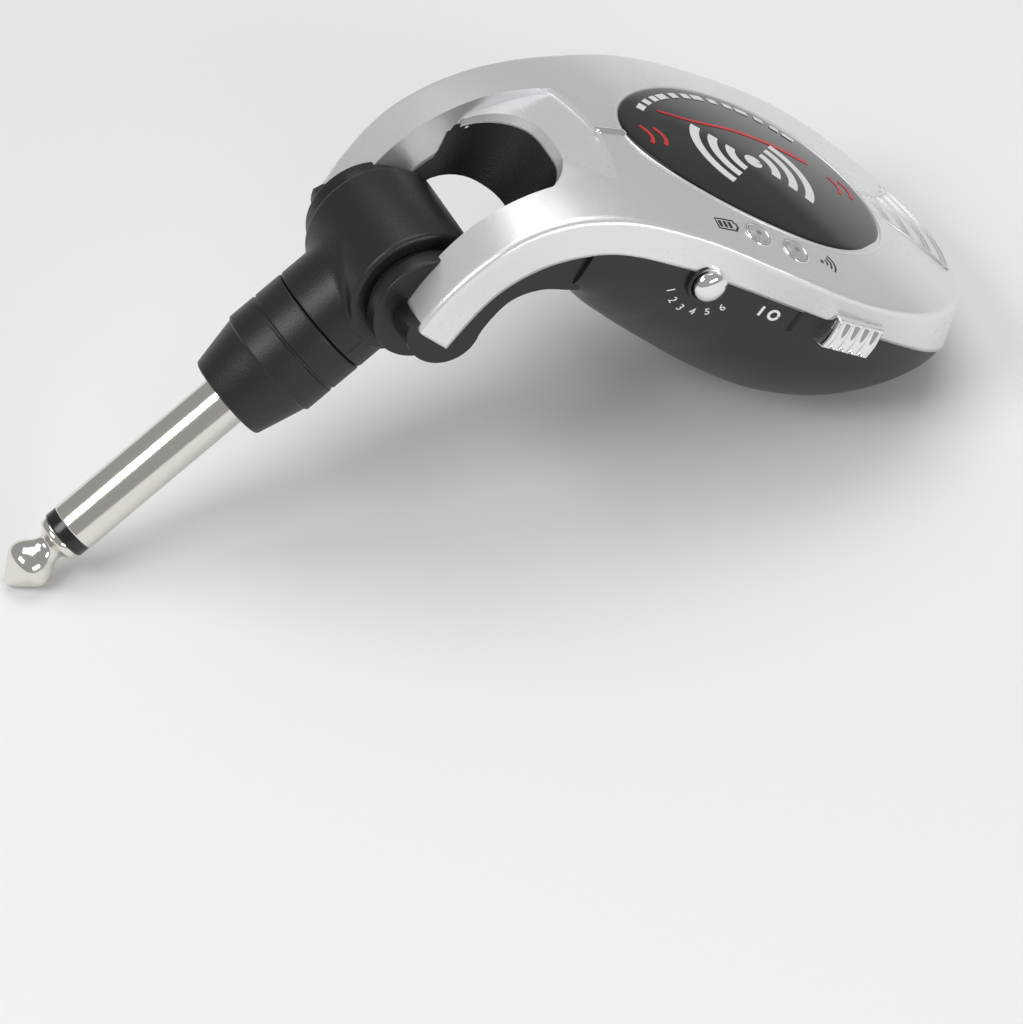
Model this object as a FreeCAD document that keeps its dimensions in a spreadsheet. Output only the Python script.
import FreeCAD, Part
import os
import re
from math import cos, pi, sin, sqrt, tan
from FreeCAD import Placement, Rotation, Vector
from Sketcher import Constraint

# Wireless guitar transmitter with a folding jack plug.
# Modelling frame: the origin is the middle of the hinge, +X points to the tail, +Y is the
# charging-socket side, -Y the switch side, and +Z is square to the badge. Every piece is
# placed by STAND, which sets the folded transmitter down on its plug tip and its belly.

SIZES = {
    # stance
    "stand_tilt": (34.2, "lean of the body when it stands on plug tip and belly, degrees"),
    "fold_angle": (66.5, "fold of the plug below straight, degrees"),
    # body outline
    "tail_reach": (72.6, "hinge axis to tail, along the top edge"),
    "body_width": (47.8, "widest place of the top edge"),
    "widest_at": (46.5, "hinge axis to the widest place"),
    "shoulder_width": (37.3, "width behind the fork"),
    "shoulder_at": (22, "hinge axis to that width"),
    "fork_width": (29, "over the two arms"),
    "fork_gap": (18, "between the two silver arms"),
    "slot_end": (11, "hinge axis to the bottom of the fork"),
    "slot_corner": (7.5, "corner radius at the bottom of the fork"),
    "side_tuck": (2.5, "parting line inside the top edge at the sides"),
    "tail_flare": (1.7, "parting line outside the top edge at the tail"),
    "crown_radius": (100, "crown of the top, side to side"),
    "badge_level": (24.9, "top of the badge above the hinge axis"),
    "band_height": (5, "top edge down to the parting line"),
    "belly_level": (-1.4, "lowest place of the belly, from the hinge axis"),
    "wall": (1.8, "thickness of both covers"),
    "seam_gap": (0.05, "gap between the covers at the parting line"),
    # fork and hinge
    "boss_radius": (6.9, "hinge bosses on the inside of the arms"),
    "ear_radius": (4.4, "rounded end of each arm"),
    "knuckle_radius": (8.4, "barrel of the knuckle"),
    "knuckle_width": (14.1, "length of the barrel"),
    "washer_thick": (0.3, "friction washer each side of the knuckle"),
    "pin_radius": (2, "hollow hinge pin"),
    "pin_bore": (0.9, "cable way through the pin"),
    "pin_reach": (10.2, "middle of the hinge to the end of a pin"),
    "pin_start": (3.6, "middle of the hinge to the start of a pin"),
    "bush_wall": (0.6, "bush round each pin"),
    "run_gap": (0.05, "running clearance"),
    "fit_gap": (0.1, "clearance of parts that are set in place"),
    # plug, measured along its own axis from the hinge
    "seam_at": (11.2, "knuckle ends, boot begins"),
    "boot_cone_at": (19, "boot begins to taper"),
    "boot_end": (25.4, "front of the boot"),
    "boot_radius": (7.05, "boot and knuckle stub"),
    "boot_nose_radius": (5.4, "front of the boot"),
    "sleeve_radius": (3.175, "quarter-inch plug sleeve"),
    "sleeve_end": (49.1, "sleeve ends, insulating ring begins"),
    "sleeve_bore": (1.9, "inside of the sleeve"),
    "ring_width": (1.45, "insulating ring at the tip"),
    "tip_length": (8.9, "plug tip beyond the ring"),
    "tip_radius": (3.03, "bulge of the tip"),
    "tip_neck": (1.7, "neck of the tip"),
    "rod_radius": (1, "rod from the tip back through the sleeve"),
    "flange_radius": (4.7, "flange of the sleeve inside the boot"),
    "flange_at": (12.8, "back of the flange"),
    "flange_thick": (1.8, "thickness of the flange"),
    "nut_across": (7.8, "locking nut across its flats"),
    "nut_thick": (1.8, "thickness of the locking nut"),
    "lug_thick": (0.4, "solder lugs"),
    # badge, lights and marker
    "badge_at": (39.1, "hinge axis to the middle of the badge"),
    "badge_length": (38.2, "badge, along the body"),
    "badge_width": (29.7, "badge, across the body"),
    "badge_egg": (0.17, "how much wider the badge is to the tail"),
    "badge_thick": (0.8, "thickness of the badge plate"),
    "badge_tape": (0.2, "adhesive under the badge"),
    "badge_proud": (0.1, "badge above the cover"),
    "lens_radius": (1.6, "clear lens of a status light"),
    "lens_stem": (1.1, "light guide below the lens"),
    "battery_lens_at": (31.4, "battery light along the body"),
    "battery_lens_side": (16.1, "battery light off the middle"),
    "audio_lens_at": (36.5, "audio light along the body"),
    "audio_lens_side": (17.6, "audio light off the middle"),
    "marker_at": (15.4, "start of the raised marker"),
    "marker_length": (4.6, "length of the marker"),
    "marker_width": (1.5, "width of the marker"),
    # electronics
    "board_level": (15.6, "top of the circuit board"),
    "board_thick": (1, "thickness of the circuit board"),
    "board_front": (20.6, "front edge of the board"),
    "board_back": (63, "back edge of the board"),
    "board_margin": (0.9, "board edge to the inside of the cover"),
    "socket_at": (27.2, "charging socket along the body"),
    "socket_width": (7.6, "charging socket"),
    "socket_height": (2.8, "charging socket"),
    "socket_depth": (5.4, "charging socket"),
    "socket_skin": (0.35, "sheet thickness of the socket shell"),
    "bezel_width": (9.6, "bezel round the socket"),
    "bezel_height": (4.2, "bezel round the socket"),
    "button_at": (26, "channel button along the body"),
    "button_radius": (2.15, "channel button"),
    "button_proud": (1.7, "channel button above the side"),
    "button_travel": (0.4, "travel of the channel button"),
    "slider_at": (47.2, "power slider along the body, switched off"),
    "slider_length": (7, "power slider"),
    "slider_height": (4.1, "power slider"),
    "slider_proud": (1.7, "power slider above the side"),
    "slider_travel": (3.2, "travel of the power slider, towards the fork"),
    "battery_at": (42, "middle of the battery"),
    "battery_length": (30, "battery cell"),
    "battery_width": (22, "battery cell"),
    "battery_height": (5.2, "battery cell"),
    "pad_thick": (0.5, "foam between battery and board"),
    "cable_radius": (0.6, "signal cable"),
    "channel_radius": (0.9, "cable way in the arm"),
    "lead_radius": (0.5, "battery leads"),
    # screws
    "screw_radius": (1, "cover screws, thread"),
    "screw_head": (1.9, "cover screws, head"),
    "post_radius": (2.5, "screw posts inside the covers"),
    "front_post_at": (17.4, "front screw post"),
    "tail_post_at": (66.4, "tail screw post"),
    "post_split": (13, "where the lower and upper posts meet"),
    "board_screw_side": (9.5, "board screws off the middle"),
}

doc = FreeCAD.newDocument("Transmitter")
sheet = doc.addObject("Spreadsheet::Sheet", "Sizes")
for row, (alias, (value, meaning)) in enumerate(SIZES.items(), start=1):
    sheet.set(f"A{row}", meaning)
    sheet.set(f"B{row}", str(value))
    sheet.setAlias(f"B{row}", alias)
doc.recompute()


class Cells:
    """The sheet's values by name, for shapes and places that are worked out here."""

    def __getattr__(self, alias):
        return float(sheet.get(alias))


size = Cells()
origin = Vector(0, 0, 0)
along_x, along_y, along_z = Vector(1, 0, 0), Vector(0, 1, 0), Vector(0, 0, 1)
fold = Placement(origin, Rotation(along_y, 180 - size.fold_angle))
subparts = {}


# ---------- helpers for bound features ----------

def bound(text):
    """An expression in which every word is a cell of the sheet."""
    return re.sub(r"[a-z]+(?:_[a-z]+)*(?!\()", r"Sizes.\g<0>", text)


def feature(kind, name, at=("0", "0", "0"), turn=None, **sizes):
    """A Part primitive with its sizes and its corner or base bound to the sheet."""
    made = doc.addObject(f"Part::{kind}", name)
    if turn:
        made.Placement = Placement(origin, Rotation(*turn))
    for prop, text in sizes.items():
        made.setExpression(prop, bound(text))
    for axis, text in zip("xyz", at):
        made.setExpression(f"Placement.Base.{axis}", bound(text))
    return made


def fuse(name, *shapes):
    made = doc.addObject("Part::MultiFuse", name)
    made.Shapes = list(shapes)
    return made


def cut(name, base, *tools):
    made = doc.addObject("Part::Cut", name)
    made.Base = base
    made.Tool = tools[0] if len(tools) == 1 else fuse(f"{name}_tools", *tools)
    return made


def computed(name, shape):
    """A feature whose shape is worked out from the sheet in this file."""
    made = doc.addObject("Part::Feature", name)
    made.Shape = shape
    return made


def keep(label, made, frame=Placement()):
    """Name a finished sub-part and remember the frame that it is placed in."""
    if made.TypeId in ("Part::Box", "Part::Cylinder", "Part::Cone", "Part::Sphere"):
        group = doc.addObject("Part::Compound", f"{label}_group")
        group.Links = [made]
        made = group
    made.Label = label
    subparts[label] = (made, frame)
    return made


def together(label, pieces, frame=Placement()):
    """Several equal, separate pieces that share one node."""
    group = doc.addObject("Part::Compound", f"{label}_group")
    group.Links = pieces
    return keep(label, group, frame)


def turned(label, outline, frame=Placement()):
    """A piece turned about its own X axis from (distance, radius) corners given as text."""
    body = doc.addObject("PartDesign::Body", f"{label}_body")
    plane = next(f for f in body.Origin.OriginFeatures if f.Role == "XY_Plane")
    sketch = body.newObject("Sketcher::SketchObject", f"{label}_outline")
    sketch.AttachmentSupport = [(plane, "")]
    sketch.MapMode = "FlatFace"
    corners = [Vector(worth(x), worth(r), 0) for x, r in outline]
    count = len(corners)
    for i in range(count):
        sketch.addGeometry(Part.LineSegment(corners[i], corners[(i + 1) % count]))
    for i in range(count):
        sketch.addConstraint(Constraint("Coincident", i, 2, (i + 1) % count, 1))
    for i, (x, r) in enumerate(outline):
        for kind, text, value in (("DistanceX", x, corners[i].x), ("DistanceY", r, corners[i].y)):
            if value == 0:
                line = -2 if kind == "DistanceX" else -1
                sketch.addConstraint(Constraint("PointOnObject", i, 1, line))
                continue
            number = sketch.addConstraint(Constraint(kind, -1, 1, i, 1, value))
            sketch.setExpression(f"Constraints[{number}]", bound(text))
    turn = body.newObject("PartDesign::Revolution", f"{label}_turn")
    turn.Profile = sketch
    turn.ReferenceAxis = (sketch, ["H_Axis"])
    turn.Angle = 360
    return keep(label, body, frame)


def worth(text):
    """The present value of a bound text."""
    return float(sheet.evalExpression(bound(text)))


# ---------- outlines of the body ----------

def smooth(points, start=None, end=None):
    """A curve through the points, with its directions at the ends if they matter."""
    curve = Part.BSplineCurve()
    ends = {}
    if start:
        ends["InitialTangent"] = start
    if end:
        ends["FinalTangent"] = end
    curve.interpolate(Points=points, **ends)
    return curve


def quarter_ellipse(start, corner, end):
    """A quarter of an ellipse from start to end, tangent to the lines through corner."""
    curve = Part.BSplineCurve()
    curve.buildFromPolesMultsKnots([start, corner, end], [3, 3], [0, 1], False, 2, [1, sqrt(0.5), 1])
    return curve


def sided(points, side):
    return [Vector(p.x, p.y * side, p.z) for p in points]


FORK_FRONT = -9       # behind this the outline covers the arms
FLARE_BEHIND_FORK = 0.9
PARTING_BACK = 2.5    # the parting line is widest this far behind the top edge


def half_outline(parting, inset, level, side):
    """One side of the plan: a smooth flank to the widest place, then a quarter ellipse."""
    fork = size.fork_width / 2 - inset
    shoulder = size.shoulder_width / 2 - inset
    widest, widest_at, tail = size.body_width / 2 - inset, size.widest_at, size.tail_reach - inset
    if parting:
        shoulder -= size.side_tuck / 4
        widest -= size.side_tuck
        widest_at += PARTING_BACK
        tail += size.tail_flare
    flank = [Vector(FORK_FRONT, fork, level), Vector(size.shoulder_at / 3, fork + FLARE_BEHIND_FORK, level),
             Vector(size.shoulder_at, shoulder, level), Vector(widest_at, widest, level)]
    round_end = [flank[-1], Vector(tail, widest, level), Vector(tail, 0, level)]
    return (smooth(sided(flank, side), end=along_x), quarter_ellipse(*sided(round_end, side)))


def outline(parting, inset, level):
    """The closed plan of the body at one level."""
    flank, end = half_outline(parting, inset, level, 1)
    far_flank, far_end = half_outline(parting, inset, level, -1)
    front = Part.LineSegment(far_flank.StartPoint, flank.StartPoint)
    edges = [c.toShape() for c in (front, flank, end, far_end, far_flank)]
    return Part.Wire(Part.__sortEdges__(edges))


def half_width(x, parting=True, inset=0.0):
    """Half the width of the body at x."""
    flank, end = half_outline(parting, inset, 0, 1)
    reach = Part.LineSegment(Vector(x, -1, 0), Vector(x, size.body_width, 0))
    for curve in (flank, end):
        if curve.StartPoint.x <= x <= curve.EndPoint.x:
            return curve.intersectCC(reach)[0].Y
    return 0.0


EDGE_DROP = 2.6       # top edge below the badge, at the sides
ABOVE, BELOW = 45, -15


def envelope(inset):
    """Sides of the body: upright above the edge, leaning to the parting line, upright below."""
    edge_level = size.badge_level - EDGE_DROP
    return Part.makeLoft([outline(False, inset, ABOVE), outline(False, inset, edge_level),
                          outline(True, inset, edge_level - size.band_height), outline(True, inset, BELOW)],
                         True, True)


TIP_FRONT = Vector(-3.5, 0, -1.3)     # end of a silver arm, seen from the side
TIP_BACK = Vector(1.3, 0, -1.9)
# the middle line of the top as (along, share of the climb from tip to badge)
TOP_FRONT = ((-3.1, 0.2), (-0.2, 0.52), (2, 0.635), (7, 0.8), (12, 0.885), (20, 0.95))
TOP_TAIL = ((58, 0.945), (65.5, 0.9), (72.6, 0.855))
# the same for the parting line, as shares of the climb from tip to parting level
PARTING_FRONT = ((2.2, 0.17), (4.1, 0.44), (6.9, 0.69), (11.9, 0.92), (17.6, 0.99))
PARTING_TAIL = ((42, 0.985), (57, 0.94))
BEYOND_TAIL = 5
LINE_END = size.tail_reach + BEYOND_TAIL


def climb(points, foot, level):
    return [Vector(x, 0, foot.z + (level - foot.z) * share) for x, share in points]


def top_line():
    """The middle line of the top: up the arms, over the badge, down to the tail."""
    level = size.badge_level
    points = [TIP_FRONT] + climb(TOP_FRONT, TIP_FRONT, level) + [Vector(size.badge_at, 0, level)]
    points += climb(TOP_TAIL, TIP_FRONT, level)
    points.append(Vector(LINE_END, 0, points[-1].z - 2 * size.band_height / 3))
    return smooth(points)


def parting_line():
    level = size.badge_level - EDGE_DROP + 0.5 - size.band_height
    points = [TIP_BACK] + climb(PARTING_FRONT, TIP_BACK, level) + [Vector(24, 0, level)]
    points += climb(PARTING_TAIL, TIP_BACK, level) + [Vector(LINE_END, 0, level - 4.4)]
    return smooth(points)


def side_slab(curves, corners):
    """A slab right across the body from a side view: curves joined up by straight lines."""
    edges = [c.toShape() for c in curves]
    edges += [Part.LineSegment(a, b).toShape() for a, b in zip(corners, corners[1:])]
    face = Part.Face(Part.Wire(Part.__sortEdges__(edges)))
    face.translate(Vector(0, -size.body_width, 0))
    return face.extrude(Vector(0, 2 * size.body_width, 0))


def crown(y):
    """How far the top falls from its middle line to y."""
    return y * y / (2 * size.crown_radius)


def dome(drop):
    """Everything under the top sunk by drop: the middle line swept across and crowned."""
    line = top_line()
    half = size.body_width / 2 + size.side_tuck
    rows = [line.value(i / (TOP_ROWS - 1) * line.LastParameter) for i in range(TOP_ROWS)]
    columns = [half * (2 * i / (TOP_COLUMNS - 1) - 1) for i in range(TOP_COLUMNS)]
    surface = Part.BSplineSurface()
    surface.interpolate([[Vector(p.x, y, p.z - drop - crown(y)) for y in columns] for p in rows])
    return surface.toShape().extrude(Vector(0, 0, BELOW - ABOVE))


TOP_ROWS, TOP_COLUMNS = 36, 9
CAVITY_FRONT = size.slot_end + 2 * size.wall    # the space inside starts behind the fork


def above_parting(gap):
    """Everything above the parting line, and in front of it where the silver arms are."""
    line = parting_line()
    line.translate(Vector(0, 0, gap))
    start, end = line.StartPoint, line.EndPoint
    front = TIP_FRONT + Vector(0, 0, gap)
    left = Vector(4 * front.x, 0, front.z)
    return side_slab([line], [end, Vector(end.x, 0, ABOVE), Vector(left.x, 0, ABOVE), left, front, start])


def top_block():
    """The silver cover before it is hollowed."""
    return envelope(0).common(dome(0)).common(above_parting(size.seam_gap))


def top_space():
    """The space inside the silver cover, open downwards."""
    room = Part.makeBox(LINE_END, 2 * size.body_width, 2 * ABOVE,
                        Vector(CAVITY_FRONT, -size.body_width, BELOW))
    return envelope(size.wall).common(dome(size.wall)).common(room)


# belly seen from the side: (along, share of the drop from the crease down to belly_level)
CREASE = Vector(11.4, 0, 10)
BELLY = ((20.3, 0.45), (30.7, 0.75), (41.1, 0.94), (49.5, 1), (57, 0.86), (62, 0.58), (66.9, 0.27),
         (70.5, -0.04))
BELLY_STATIONS = 12


def belly_line(inset):
    drop = CREASE.z - size.belly_level
    tail = size.tail_reach + size.tail_flare
    points = [CREASE] + [Vector(x, 0, CREASE.z - drop * share) for x, share in BELLY]
    points.append(Vector(max(tail, points[-1].x + 1), 0, CREASE.z + 3.4))
    return smooth([p + Vector(0, 0, inset) for p in points])


def height_on(curve, x):
    """Level of a side-view curve at x."""
    upright = Part.LineSegment(Vector(x, 0, 3 * BELOW), Vector(x, 0, ABOVE))
    return curve.intersectCC(upright)[0].Z


def belly_section(x, inset):
    """Across the belly at x: half an ellipse below the parting line, upright above it."""
    half = max(half_width(x, True, inset), 0.5)
    rim = height_on(parting_line(), x)
    low = min(height_on(belly_line(inset), x), rim - 0.5)
    top = size.badge_level
    left, right, bottom = Vector(x, -half, rim), Vector(x, half, rim), Vector(x, 0, low)
    curves = [quarter_ellipse(left, Vector(x, -half, low), bottom),
              quarter_ellipse(bottom, Vector(x, half, low), right),
              Part.LineSegment(right, Vector(x, half, top)),
              Part.LineSegment(Vector(x, half, top), Vector(x, -half, top)),
              Part.LineSegment(Vector(x, -half, top), left)]
    return Part.Wire([c.toShape() for c in curves])


def belly(inset, start):
    """The belly as a loft, with its sections closer together at the tail."""
    reach = size.tail_reach + size.tail_flare - inset - start - 0.15
    shares = [1 - (1 - i / (BELLY_STATIONS - 1)) ** 1.7 for i in range(BELLY_STATIONS)]
    return Part.makeLoft([belly_section(start + reach * share, inset) for share in shares], True, False)


UNDERSIDE = (Vector(4.3, 0, 1), Vector(5.3, 0, 6), Vector(8.4, 0, 9), CREASE)


def arm_black():
    """Lower half of the arms: a rounded end about the hinge and a strip up to the belly."""
    back = Vector(CREASE.x + 1, 0, CREASE.z - 1)
    rise = Vector(CREASE.x + 1, 0, size.badge_level)
    strip = side_slab([smooth(list(UNDERSIDE))], [CREASE, back, rise, Vector(0, 0, size.badge_level),
                                                 Vector(0, 0, TIP_BACK.z), UNDERSIDE[0]])
    ear = Part.makeCylinder(size.ear_radius, 2 * size.body_width, Vector(0, -size.body_width, 0), along_y)
    return strip.fuse(ear).common(envelope(0))


def fork_slot():
    """The open space between the arms, with rounded corners at its bottom."""
    half, depth = size.fork_gap / 2, BELOW - ABOVE
    slot = Part.makeBox(size.slot_end + 30, 2 * half, -2 * depth, Vector(-30, -half, depth))
    corners = [e for e in slot.Edges if e.BoundBox.XMin > size.slot_end - 0.1 and e.BoundBox.ZLength > 1]
    return slot.makeFillet(size.slot_corner, corners)


def upright(x, y, low, high, radius):
    return Part.makeCylinder(radius, high - low, Vector(x, y, low))


def across(y, reach, radius):
    """A cylinder on the hinge axis from y, reach long, towards the same side as y."""
    return Part.makeCylinder(radius, reach, Vector(0, y, 0), along_y * (1 if y > 0 else -1))


def round_bar(middle, width, height, reach):
    """A bar along Y with a rounded-end cross-section in X and Z, standing on middle."""
    half, radius = width / 2 - height / 2, height / 2
    bar = Part.makeBox(2 * half, reach, height, middle + Vector(-half, 0, -radius))
    for end in (-half, half):
        bar = bar.fuse(Part.makeCylinder(radius, reach, middle + Vector(end, 0, 0), along_y))
    return bar.removeSplitter()


def routed(points, share=0.45):
    """Straight runs joined by tangent arcs, each as large as its two runs allow."""
    edges, here = [], points[0]
    for before, corner, after in zip(points, points[1:], points[2:]):
        into, out = (corner - before), (after - corner)
        turn = into.getAngle(out)
        setback = share * min(into.Length, out.Length)
        into.normalize()
        out.normalize()
        start, end = corner - into * setback, corner + out * setback
        middle_way = (out - into).normalize()
        radius = setback / tan(turn / 2)
        middle = corner + middle_way * (radius / cos(turn / 2) - radius)
        edges += [Part.LineSegment(here, start).toShape(), Part.Arc(start, middle, end).toShape()]
        here = end
    edges.append(Part.LineSegment(here, points[-1]).toShape())
    return Part.Wire(edges)


def tube(points, radius):
    """A round cable along a routed path."""
    path = routed(points)
    direction = points[1] - points[0]
    rim = Part.Wire(Part.Circle(points[0], direction, radius).toShape())
    return path.makePipeShell([rim], True, False)


# ---------- places that several pieces share ----------

board_half = half_width(size.board_front, True, size.wall) - size.board_margin
board_under = size.board_level - size.board_thick
button_face = -half_width(size.button_at)
slider_face = -half_width(size.slider_at)
socket_face = half_width(size.socket_at)
switch_level = size.board_level + size.socket_height / 2
inside_skin = 1.5 * size.wall               # moving skirts stay this far in from the side
plunger_start = -button_face - inside_skin - 2.1
SKIRT_THICK = 0.7
skirt_length = size.slider_length + 2 * (size.slider_travel + size.fit_gap)
# the skirt clears the curved wall where its front end gets to
skirt_front = size.slider_at - skirt_length / 2 - size.slider_travel
skirt_out = size.wall + 4 * size.fit_gap - half_width(skirt_front)
lever_out = skirt_out + SKIRT_THICK
bush_radius = size.pin_radius + size.run_gap + size.bush_wall
bush_start = size.knuckle_width / 2 + size.washer_thick
boss_face = bush_start
arm_inside = size.fork_gap / 2
screw_posts = (size.front_post_at, size.tail_post_at)
board_screws = [(size.board_front + 2.2, s * size.board_screw_side) for s in (1, -1)]
board_screws += [(size.board_back - 2.2, s * size.board_screw_side) for s in (1, -1)]
lenses = {"battery": (size.battery_lens_at, -size.battery_lens_side),
          "audio": (size.audio_lens_at, -size.audio_lens_side)}


def top_at(x, y=0.0):
    """Level of the top."""
    return height_on(top_line(), x) - crown(y)


def badge_plan(grow):
    """The egg outline of the badge, wider towards the tail."""
    length, width, egg = size.badge_length / 2 + grow, size.badge_width / 2 + grow, size.badge_egg
    points = []
    for i in range(24):
        angle = 2 * pi * i / 24
        y = width * sin(angle) * (1 + egg * cos(angle))
        points.append(Vector(size.badge_at + length * cos(angle), y, 0))
    curve = Part.BSplineCurve()
    curve.interpolate(Points=points, PeriodicFlag=True)
    return Part.Face(Part.Wire(curve.toShape()))


def badge_layer(grow, top, thick):
    """A plate with the badge's outline that follows the cover; top is its drop below the top."""
    prism = badge_plan(grow).extrude(Vector(0, 0, 2 * ABOVE))
    return prism.common(dome(top)).cut(dome(top + thick))


def sunk_panel(corners, depth):
    """What is cut away from the top to sink a panel with these corners in it."""
    plan = Part.Face(Part.makePolygon([Vector(x, y, 0) for x, y in corners + corners[:1]]))
    return plan.extrude(Vector(0, 0, 2 * ABOVE)).cut(dome(depth))


def panels():
    """The panel behind the fork, and the fan behind the badge."""
    front, back, tail = size.slot_end - 2, size.slot_end + 3.8, size.tail_reach - 2.5
    half = size.fork_gap / 2
    yoke = [(front, -half), (back, -half), (back + 1.1, -half / 2), (back + 1.5, 0), (back + 1.1, half / 2),
            (back, half), (front, half)]
    fan = [(size.badge_at + size.badge_length / 2, -1.9), (tail - 1.5, -9), (tail, -5), (tail + 0.5, 0),
           (tail, 5), (tail - 1.5, 9), (size.badge_at + size.badge_length / 2, 1.9)]
    return [sunk_panel(yoke, 0.6), sunk_panel(fan, 0.25)]


# ---------- covers ----------

# cable from the hinge through the arm to the board, on the switch side of the body
cable_lane = -(arm_inside + 3.4)
cable_points = [Vector(0, -(size.pin_reach + 0.1), 0), Vector(0, cable_lane, 0),
                Vector(1.3, cable_lane, 6), Vector(5.2, cable_lane, 12.2),
                Vector(12.6, cable_lane, switch_level + 0.2),
                Vector(size.board_front + 1.4, cable_lane, switch_level)]
# the way cut for it runs on past both ends of the arm
channel_points = cable_points[:-1] + [Vector(size.board_front - 2, cable_lane, switch_level)]


def hinge_bores():
    reach = size.pin_reach + 2 * size.fit_gap - bush_start
    return [across(side * bush_start, reach, bush_radius) for side in (1, -1)]


def side_openings():
    """Ways through both covers for the button, the slider and the charging socket."""
    deep = 2.5 * size.wall
    button = Part.makeCylinder(size.button_radius + size.fit_gap, 2 * deep,
                               Vector(size.button_at, button_face - deep, switch_level), along_y)
    run = size.slider_length + size.slider_travel + 2 * size.fit_gap
    height = size.slider_height + 2 * size.fit_gap
    slot = Part.makeBox(run, 2 * deep, height,
                        Vector(size.slider_at + size.slider_length / 2 + size.fit_gap - run,
                               slider_face - deep, switch_level - height / 2))
    gap = 2 * size.fit_gap
    socket = round_bar(Vector(size.socket_at, socket_face - deep, switch_level),
                       size.bezel_width + gap, size.bezel_height + gap, 2 * deep)
    return [button, slot, socket]


def make_top_cover():
    cover = top_block().cut(top_space())
    for x in screw_posts:
        post = upright(x, 0, size.post_split + size.fit_gap, ABOVE, size.post_radius)
        cover = cover.fuse(post.common(top_block()))
    grow = size.fit_gap
    cuts = [fork_slot(), badge_layer(grow, 0, size.badge_thick + size.badge_tape + size.badge_proud)]
    cuts += [upright(x, y, 0, ABOVE, size.lens_radius + size.fit_gap) for x, y in lenses.values()]
    bore = 0.8 * size.screw_radius
    cuts += [upright(x, 0, 0, size.badge_level - 2 * size.wall, bore) for x in screw_posts]
    cuts += hinge_bores() + side_openings() + [tube(channel_points, size.channel_radius), marker(grow)]
    return cover.cut(cuts + panels())


def marker(grow):
    """The raised rib ahead of the badge, let into the cover."""
    length, width = size.marker_length + 2 * grow, size.marker_width + 2 * grow
    bar = Part.makeBox(length, width, 2, Vector(size.marker_at - grow, -width / 2,
                                                top_at(size.marker_at) - 0.5))
    ends = [e for e in bar.Edges if e.BoundBox.ZLength > 1]
    return bar.makeFillet(width / 2 - 0.05, ends).common(dome(-0.25))


def make_bottom_cover():
    upper = above_parting(0)
    outside = belly(0, CREASE.x).cut(upper)
    hollow = outside.cut(belly(size.wall, CAVITY_FRONT))
    cover = hollow.fuse(arm_black().cut(upper)).cut(fork_slot())
    for side in (1, -1):
        cover = cover.fuse(across(side * boss_face, arm_inside - boss_face, size.boss_radius))
    for x in screw_posts:
        cover = cover.fuse(upright(x, 0, BELOW, size.post_split, size.post_radius).common(outside))
    for x, y in board_screws:
        cover = cover.fuse(upright(x, y, BELOW, board_under - size.fit_gap, size.screw_head).common(outside))
    heads = size.post_split - 2.5
    cuts = [upright(x, 0, BELOW, heads, size.screw_head + size.fit_gap) for x in screw_posts]
    cuts += [upright(x, 0, BELOW, ABOVE, size.screw_radius + size.fit_gap) for x in screw_posts]
    cuts += [upright(x, y, board_under - 4, ABOVE, 0.6 * size.screw_radius) for x, y in board_screws]
    cuts += hinge_bores() + side_openings() + [tube(channel_points, size.channel_radius)]
    return cover.cut(cuts)


keep("top_cover", computed("top_cover_shape", make_top_cover()))
keep("bottom_cover", computed("bottom_cover_shape", make_bottom_cover()))

# ---------- on the covers ----------

proud = -size.badge_proud
keep("badge", computed("badge_shape", badge_layer(0, proud, size.badge_thick)))
tape_depth = proud + size.badge_thick
keep("badge_tape", computed("badge_tape_shape", badge_layer(-0.5, tape_depth, size.badge_tape)))
keep("marker_rib", computed("marker_shape", marker(0)))

for name, (x, y) in lenses.items():
    top = f"{top_at(x, y) + 0.3}"
    low = f"{switch_level} + slider_height / 2 + 0.7"
    outline_points = ((low, "0"), (low, "lens_stem"), (f"{top} - 2.4", "lens_stem"),
                      (f"{top} - 2", "lens_radius"), (f"{top} - 0.4", "lens_radius"),
                      (top, "lens_radius * 0.7"), (top, "0"))
    turned(f"{name}_light_lens", outline_points, Placement(Vector(x, y, 0), Rotation(along_y, -90)))

screws = []
for i, x in enumerate(screw_posts):
    head_at = "post_split - 2.5"
    head = feature("Cylinder", f"cover_screw_head_{i}", (str(x), "0", f"{head_at} - 1.4"),
                   Radius="screw_head", Height="1.4")
    shank = feature("Cylinder", f"cover_screw_shank_{i}", (str(x), "0", head_at),
                    Radius="screw_radius * 0.79", Height="6.5")
    socket = feature("Cylinder", f"cover_screw_socket_{i}", (str(x), "0", f"{head_at} - 1.5"),
                     Radius="screw_head * 0.45", Height="0.8")
    screws.append(cut(f"cover_screw_{i}", fuse(f"cover_screw_body_{i}", head, shank), socket))
together("cover_screws", screws)

# ---------- circuit board and what is on it ----------


def make_board():
    plan = Part.Face(outline(True, size.wall + size.board_margin, board_under))
    board = plan.extrude(Vector(0, 0, size.board_thick))
    length = size.board_back - size.board_front
    span = Part.makeBox(length, 4 * board_half, 4,
                        Vector(size.board_front, -2 * board_half, board_under - 1))
    cuts = [upright(x, y, BELOW, ABOVE, 0.8 * size.screw_radius) for x, y in board_screws]
    cuts.append(notch(size.button_at, 2 * size.button_radius + 2, -plunger_start))
    swept = skirt_length + size.slider_travel + 1
    cuts.append(notch(size.slider_at - size.slider_travel / 2, swept, lever_out))
    return board.common(span).cut(cuts)


def notch(x, width, y):
    """Room in the switch side of the board, from its edge in to y."""
    corner = Vector(x - width / 2, y - size.body_width, board_under - 1)
    return Part.makeBox(width, size.body_width, 4, corner)


keep("circuit_board", computed("board_shape", make_board()))


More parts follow.
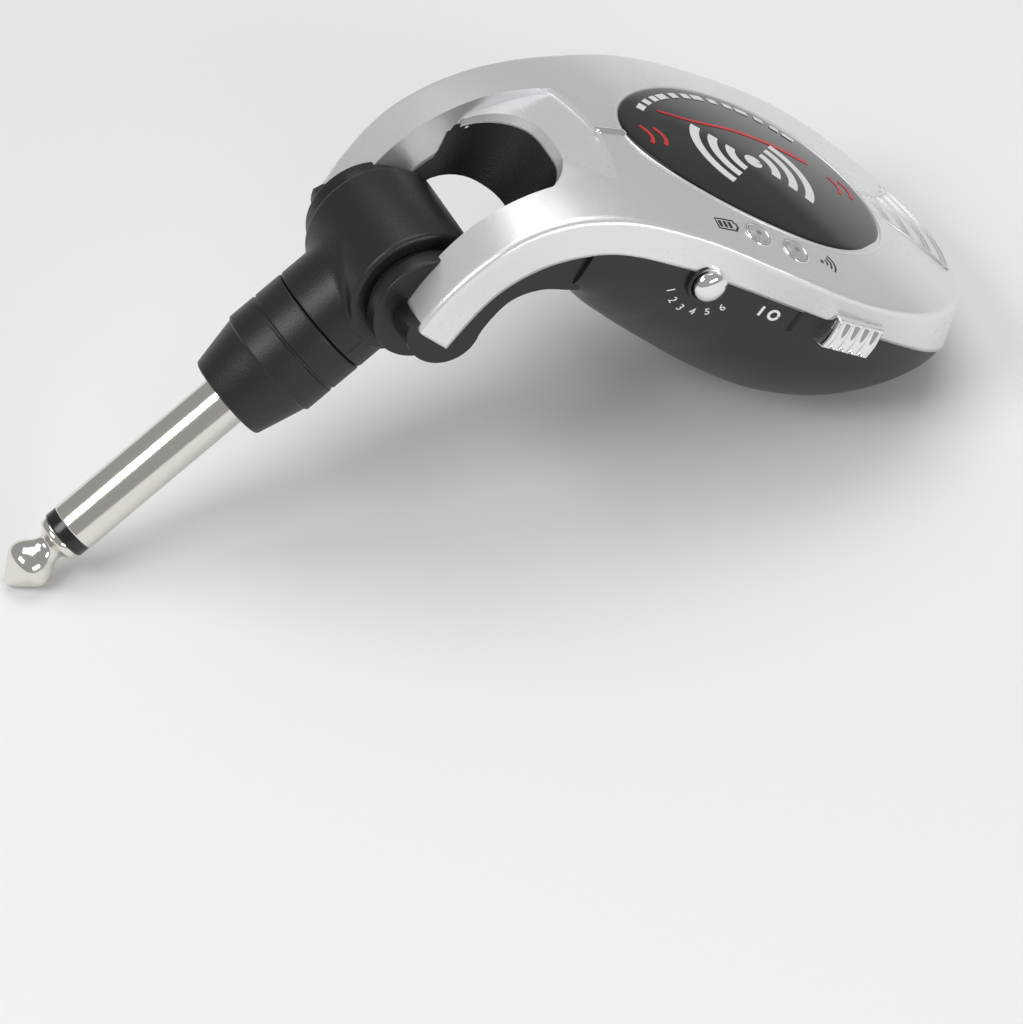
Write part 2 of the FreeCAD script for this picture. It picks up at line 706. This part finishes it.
def on_board(label, x, y, length, width, height, under=False):
    """A box-shaped part soldered to the board, named by its middle."""
    low = f"board_level - board_thick - {height}" if under else "board_level"
    box = feature("Box", f"{label}_box", (f"{x} - {length} / 2", f"{y} - {width} / 2", low),
                  Length=str(length), Width=str(width), Height=str(height))
    return box


def soldered(label, *place, **options):
    return keep(label, on_board(label, *place, **options))


shield = on_board("radio_shield", 53.4, 3, 11, 12, 2)
shield_room = feature("Box", "radio_shield_room", ("48.1", "-2.8", "board_level"),
                      Length="10.6", Width="11.6", Height="1.8")
keep("radio_shield", cut("radio_shield_can", shield, shield_room))
soldered("radio_chip", 53.4, 3, 5, 5, 0.9)
soldered("audio_chip", 40, 4, 7, 7, 1.1)
soldered("charge_chip", 30, 2, 4, 4, 0.9)
soldered("timing_crystal", 46.2, -6, 3.2, 2.5, 0.8)
soldered("aerial_chip", 60.6, -3.5, 2, 7, 1.2)
together("board_capacitors", [on_board(f"capacitor_{i}", 33 + 2.4 * i, -8.4, 1, 1.8, 0.8) for i in range(5)])
together("status_lights", [on_board(f"{name}_light", x, y, 1, 1.2, 0.7) for name, (x, y) in lenses.items()])

screws = []
for i, (x, y) in enumerate(board_screws):
    head = feature("Cylinder", f"board_screw_head_{i}", (str(x), str(y), "board_level"),
                   Radius="screw_radius * 1.5", Height="0.8")
    shank = feature("Cylinder", f"board_screw_shank_{i}",
                    (str(x), str(y), "board_level - board_thick - 3.5"),
                    Radius="screw_radius * 0.59", Height="3.6 + board_thick")
    screws.append(fuse(f"board_screw_{i}", head, shank))
together("board_screws", screws)

# charging socket, its tongue and the bezel in the side of the covers
mouth = socket_face - 0.6
socket_back = f"{mouth} - socket_depth"
socket_low = f"{switch_level} - socket_height / 2 + 0.02"
shell = feature("Box", "socket_outer", ("socket_at - socket_width / 2", socket_back, socket_low),
                Length="socket_width", Width="socket_depth", Height="socket_height - 0.02")
hollow = feature("Box", "socket_inner",
                 ("socket_at - socket_width / 2 + socket_skin", f"{socket_back} + socket_skin",
                  f"{socket_low} + socket_skin"),
                 Length="socket_width - 2 * socket_skin", Width="socket_depth",
                 Height="socket_height - 0.02 - 2 * socket_skin")
keep("charging_socket", cut("charging_socket_shell", shell, hollow))
keep("socket_tongue", feature("Box", "socket_tongue_box",
                              ("socket_at - socket_width * 0.36", f"{socket_back} + socket_skin",
                               f"{switch_level} - 0.3"),
                              Length="socket_width * 0.72", Width="socket_depth - socket_skin - 0.9",
                              Height="0.6"))


def make_bezel():
    depth = size.wall
    ring = round_bar(Vector(size.socket_at, socket_face - depth, switch_level),
                     size.bezel_width, size.bezel_height, depth + 0.2)
    hole = round_bar(Vector(size.socket_at, socket_face - 2 * depth, switch_level),
                     size.socket_width + 2 * size.fit_gap, size.socket_height + 2 * size.fit_gap, 4 * depth)
    shell_room = Part.makeBox(size.socket_width + 2 * size.fit_gap, depth + 0.1,
                              size.socket_height + 2 * size.fit_gap,
                              Vector(size.socket_at - size.socket_width / 2 - size.fit_gap, mouth - depth,
                                     switch_level - size.socket_height / 2 - size.fit_gap))
    return ring.cut(hole).cut(shell_room)


keep("socket_bezel", computed("bezel_shape", make_bezel()))

# signal cable from the hinge to its plug on the board
soldered("signal_connector", size.board_front + 2.2, cable_lane, 1.6, 2.6, 2.6)
keep("signal_cable_body", computed("signal_cable_body_shape", tube(cable_points, size.cable_radius)))

# channel button and its switch: the plunger moves with the button
button_turn = Placement(Vector(size.button_at, 0, switch_level), Rotation(along_z, -90))
inner_skin = -button_face - inside_skin
outline_points = ((f"{inner_skin - 0.9}", "0"), (f"{inner_skin - 0.9}", "button_radius + 0.6"),
                  (f"{inner_skin - 0.1}", "button_radius + 0.6"), (f"{inner_skin - 0.1}", "button_radius"),
                  (f"{-button_face} + button_proud * 0.35", "button_radius"),
                  (f"{-button_face} + button_proud * 0.8", "button_radius * 0.72"),
                  (f"{-button_face} + button_proud", "button_radius * 0.3"),
                  (f"{-button_face} + button_proud", "0"))
turned("channel_button", outline_points, button_turn)
turned("channel_switch_plunger", ((f"{plunger_start}", "0"), (f"{plunger_start}", "0.8"),
                                  (f"{inner_skin - 0.9}", "0.8"), (f"{inner_skin - 0.9}", "0")), button_turn)
switch_face = -(plunger_start + 0.3)
switch_box = feature("Box", "channel_switch_box", ("button_at - 2.2", f"{switch_face}", "board_level"),
                     Length="4.4", Width="3.2", Height="2.8")
plunger_hole = feature("Cylinder", "channel_switch_hole",
                       ("button_at", f"{switch_face} + 1", f"{switch_level}"),
                       turn=(along_x, 90), Radius="0.9", Height="4")
keep("channel_switch", cut("channel_switch_body", switch_box, plunger_hole))

# power slider: a chrome knob on a skirt that covers the slot from inside, and the switch's lever
knob_low = f"{switch_level} - slider_height / 2"
knob = feature("Box", "slider_knob_box",
               ("slider_at - slider_length / 2", f"{slider_face} - slider_proud", knob_low),
               Length="slider_length", Width=f"slider_proud + {skirt_out - slider_face}",
               Height="slider_height")
grooves = [feature("Cylinder", f"slider_groove_{i}",
                   (f"slider_at + ({i} - 1.5) * slider_length / 5", f"{slider_face} - slider_proud - 0.1",
                    f"{knob_low} - 1"), Radius="0.38", Height="slider_height + 2") for i in range(4)]
keep("power_slider", cut("slider_knob", knob, *grooves))
keep("slider_skirt", feature("Box", "slider_skirt_box",
                             (f"slider_at - {skirt_length} / 2", f"{skirt_out}", f"{knob_low} - 0.4"),
                             Length=str(skirt_length), Width=str(SKIRT_THICK), Height="slider_height + 0.8"))
keep("switch_lever", feature("Box", "switch_lever_box",
                             ("slider_at - 0.8", f"{lever_out}", f"{switch_level} - 0.9"),
                             Length="1.6", Width="1.9", Height="1.8"))
switch_front = lever_out + 0.3
slide_box = feature("Box", "slide_switch_box",
                    ("slider_at - slider_travel - 2.4", f"{switch_front}", "board_level"),
                    Length="slider_travel + 4.8", Width="3.6", Height="2.9")
lever_way = feature("Box", "slide_switch_way",
                    ("slider_at - slider_travel - 1", f"{switch_front} - 1", f"{switch_level} - 1"),
                    Length="slider_travel + 2", Width="2.7", Height="2")
keep("slide_switch", cut("slide_switch_body", slide_box, lever_way))

# battery under the board
cell_top = "board_level - board_thick - pad_thick - 0.1"
cell = feature("Box", "battery_box",
               ("battery_at - battery_length / 2", "-battery_width / 2", f"{cell_top} - battery_height"),
               Length="battery_length", Width="battery_width", Height="battery_height")
keep("battery_cell", cell)
keep("battery_foam", feature("Box", "battery_foam_box",
                             ("battery_at - battery_length * 0.4", "-battery_width * 0.4", cell_top),
                             Length="battery_length * 0.8", Width="battery_width * 0.8", Height="pad_thick"))
keep("battery_guard_board", feature("Box", "guard_board_box",
                                    ("battery_at - battery_length / 2 - 1.1", "-battery_width * 0.3",
                                     f"{cell_top} - battery_height * 0.9"),
                                    Length="1", Width="battery_width * 0.6", Height="battery_height * 0.8"))
soldered("battery_connector", 23.4, 0, 3.4, 6, 2.6, under=True)
connector_end = 23.4 + 3.4 / 2
lead_start = size.battery_at - size.battery_length / 2 - 1.1
for name, y in (("red", 1.6), ("black", -1.6)):
    start = Vector(connector_end, y, board_under - 1.3)
    run = Part.makeCylinder(size.lead_radius, lead_start - connector_end, start, along_x)
    keep(f"battery_lead_{name}", computed(f"battery_lead_{name}_shape", run))

# ---------- hinge ----------

sides = {"left": Placement(origin, Rotation(along_z, 90)),
         "right": Placement(origin, Rotation(along_z, -90))}
for name, turn in sides.items():
    start = f"{bush_start}"
    turned(f"hinge_bush_{name}", ((start, "pin_radius + run_gap"), (start, f"{bush_radius}"),
                                  ("pin_reach", f"{bush_radius}"),
                                  ("pin_reach", "pin_radius + run_gap")), turn)
    turned(f"friction_washer_{name}", (("knuckle_width / 2", "pin_radius + 0.2"),
                                       ("knuckle_width / 2", "5.6"), (start, "5.6"),
                                       (start, "pin_radius + 0.2")), turn)
    turned(f"hinge_pin_{name}", (("pin_start", "pin_bore"), ("pin_start", "pin_radius + 0.9"),
                                 ("pin_start + 1", "pin_radius + 0.9"), ("pin_start + 1", "pin_radius"),
                                 ("pin_reach", "pin_radius"), ("pin_reach", "pin_bore")),
           fold.multiply(turn))

# ---------- knuckle: two half shells split through the hinge and the plug ----------

KNUCKLE_WALL = 2.2
SCREW_ALONG, SCREW_SIDE = 5.4, 5.7
SEAT, SEAT_RADIUS = 3.2, 1.2      # screw heads rest here, above the split


def make_knuckle():
    half = size.knuckle_width / 2
    barrel = Part.makeCylinder(size.knuckle_radius, 2 * half, Vector(0, -half, 0), along_y)
    stub = Part.makeCylinder(size.boot_radius, size.seam_at, origin, along_x)
    solid = barrel.fuse(stub).removeSplitter()
    room = Part.makeCylinder(size.knuckle_radius - KNUCKLE_WALL, 2 * size.pin_start,
                             Vector(0, -size.pin_start, 0), along_y)
    front = Part.makeCylinder(size.flange_radius, size.seam_at + 1, origin, along_x)
    cuts = [room, front]
    for side in (1, -1):
        cuts.append(across(side * (size.pin_start - 0.1), half, size.pin_radius))
        cuts.append(across(side * (size.pin_start - 0.1), 1.1, size.pin_radius + 0.9))
        cuts.append(upright(SCREW_ALONG, side * SCREW_SIDE, -3.6, SEAT, 0.7))
        cuts.append(upright(SCREW_ALONG, side * SCREW_SIDE, SEAT, ABOVE, SEAT_RADIUS))
    return solid.cut(cuts)


knuckle = make_knuckle()
block = 4 * size.knuckle_radius
for name, low in (("front", -block), ("rear", size.seam_gap)):
    room = Part.makeBox(2 * block, 2 * block, block, Vector(-block, -block, low))
    keep(f"knuckle_{name}", computed(f"knuckle_{name}_shape", knuckle.common(room)), fold)

screws = []
for i, side in enumerate((1, -1)):
    place = (str(SCREW_ALONG), str(side * SCREW_SIDE))
    head = feature("Cylinder", f"knuckle_screw_head_{i}", (*place, str(SEAT)), Radius="1.1", Height="1")
    shank = feature("Cylinder", f"knuckle_screw_shank_{i}", (*place, "-3.5"), Radius="0.7",
                    Height=f"{SEAT} + 3.5")
    slot = feature("Box", f"knuckle_screw_slot_{i}",
                   (f"{SCREW_ALONG} - 1.2", f"{side * SCREW_SIDE} - 0.2", f"{SEAT} + 0.6"),
                   Length="2.4", Width="0.4", Height="1")
    screws.append(cut(f"knuckle_screw_{i}", fuse(f"knuckle_screw_body_{i}", head, shank), slot))
together("knuckle_screws", screws, fold)

# ---------- plug ----------

turned("boot", (("seam_at", "flange_radius"), ("seam_at", "boot_radius"), ("boot_cone_at", "boot_radius"),
                ("boot_cone_at", "boot_radius - 0.3"), ("boot_end", "boot_nose_radius"),
                ("boot_end", "sleeve_radius - 0.5"), ("flange_at + flange_thick", "sleeve_radius - 0.5"),
                ("flange_at + flange_thick", "flange_radius")), fold)
sleeve_back = "flange_at - nut_thick - 0.6"
turned("plug_sleeve", ((sleeve_back, "sleeve_bore"), (sleeve_back, "sleeve_radius - 0.3"),
                       ("flange_at", "sleeve_radius - 0.3"), ("flange_at", "flange_radius"),
                       ("flange_at + flange_thick", "flange_radius"),
                       ("flange_at + flange_thick", "sleeve_radius - 0.5"),
                       ("boot_end", "sleeve_radius - 0.5"), ("boot_end", "sleeve_radius"),
                       ("sleeve_end", "sleeve_radius"), ("sleeve_end", "sleeve_bore")), fold)
tip = "sleeve_end + ring_width"
rod_back = "flange_at - nut_thick - 3.4"
turned("plug_tip", ((rod_back, "0"), (rod_back, "rod_radius"), (tip, "rod_radius"),
                    (tip, "tip_radius - 0.13"),
                    (f"{tip} + 0.9", "tip_radius - 0.13"), (f"{tip} + 2.15", "tip_neck"),
                    (f"{tip} + 4", "tip_radius - 0.5"), (f"{tip} + 5.1", "tip_radius"),
                    (f"{tip} + 6.1", "tip_radius - 0.35"), (f"{tip} + tip_length - 0.4", "0.8"),
                    (f"{tip} + tip_length", "0.3"), (f"{tip} + tip_length", "0")), fold)
turned("tip_ring", (("sleeve_end", "rod_radius"), ("sleeve_end", "sleeve_radius"),
                    (tip, "sleeve_radius"), (tip, "rod_radius")), fold)
tube_back = "flange_at - nut_thick - 1.2"
turned("insulating_tube", ((tube_back, "rod_radius"), (tube_back, "sleeve_bore"),
                           ("sleeve_end", "sleeve_bore"), ("sleeve_end", "rod_radius")), fold)
nut = doc.addObject("Part::Prism", "sleeve_nut_hexagon")
nut.Polygon = 6
nut.Placement = Placement(origin, Rotation(along_y, 90))
nut.setExpression("Circumradius", bound("nut_across / 1.7320508"))
nut.setExpression("Height", bound("nut_thick"))
nut.setExpression("Placement.Base.x", bound("flange_at - nut_thick"))
nut_bore = feature("Cylinder", "sleeve_nut_bore", ("flange_at - nut_thick - 1", "0", "0"),
                   turn=(along_y, 90), Radius="sleeve_radius - 0.3", Height="nut_thick + 2")
keep("sleeve_nut", cut("sleeve_nut_shape", nut, nut_bore), fold)

# solder lugs on the rod and on the sleeve, and the cable from the rod into the hinge pin


def lug(label, at, outer, inner, reach):
    """A ring on the plug's axis with a tab that stands out to one side."""
    ring = feature("Cylinder", f"{label}_ring", (at, "0", "0"), turn=(along_y, 90), Radius=outer,
                   Height="lug_thick")
    tab = feature("Box", f"{label}_tab", (at, "-0.9", "0"), Length="lug_thick", Width="1.8", Height=reach)
    hole = feature("Cylinder", f"{label}_hole", (f"{at} - 1", "0", "0"), turn=(along_y, 90), Radius=inner,
                   Height="lug_thick + 2")
    keep(label, cut(f"{label}_shape", fuse(f"{label}_blank", ring, tab), hole), fold)


lug("tip_terminal", f"{rod_back} + 0.9", "2.1", "rod_radius", "3.6")
lug("sleeve_terminal", "flange_at - nut_thick - lug_thick", "sleeve_radius + 0.7",
    "sleeve_radius - 0.3", "4.4")
cable_start = size.flange_at - size.nut_thick - 3.4
lead = [Vector(cable_start, 0, 0), origin, Vector(0, -(size.pin_reach + 0.1), 0)]
keep("signal_cable_plug", computed("signal_cable_plug_shape", tube(lead, size.cable_radius)), fold)

# ---------- the stand and the files ----------

doc.recompute()
lean = Rotation(along_y, size.stand_tilt)


def in_body(label):
    made, frame = subparts[label]
    shape = made.Shape.copy()
    shape.Placement = frame.multiply(shape.Placement)
    return shape


def leaning_box():
    """The leaning body's own box, from the pieces that reach its sides."""
    reach = FreeCAD.BoundBox()
    for label in ("top_cover", "bottom_cover", "plug_tip", "power_slider", "channel_button"):
        shape = in_body(label)
        shape.Placement = Placement(origin, lean).multiply(shape.Placement)
        reach.add(shape.optimalBoundingBox())
    return reach


reach = leaning_box()
STAND = Placement(Vector(-reach.Center.x, -reach.Center.y, -reach.ZMin), lean)
for made, frame in subparts.values():
    made.Placement = STAND.multiply(frame).multiply(made.Placement)
doc.recompute()

broken = [o.Name for o in doc.Objects if "Invalid" in o.State or "Error" in o.State]
for label, (made, frame) in subparts.items():
    if made.Shape.isNull() or not made.Shape.isValid() or not made.Shape.Solids:
        broken.append(label)
if broken:
    raise RuntimeError(f"these did not build: {broken}")

os.makedirs("parts", exist_ok=True)
for label, (made, frame) in subparts.items():
    made.Shape.exportStep(f"parts/{label}.step")
print(f"{len(subparts)} pieces, hinge at {STAND.Base}, box {reach}")
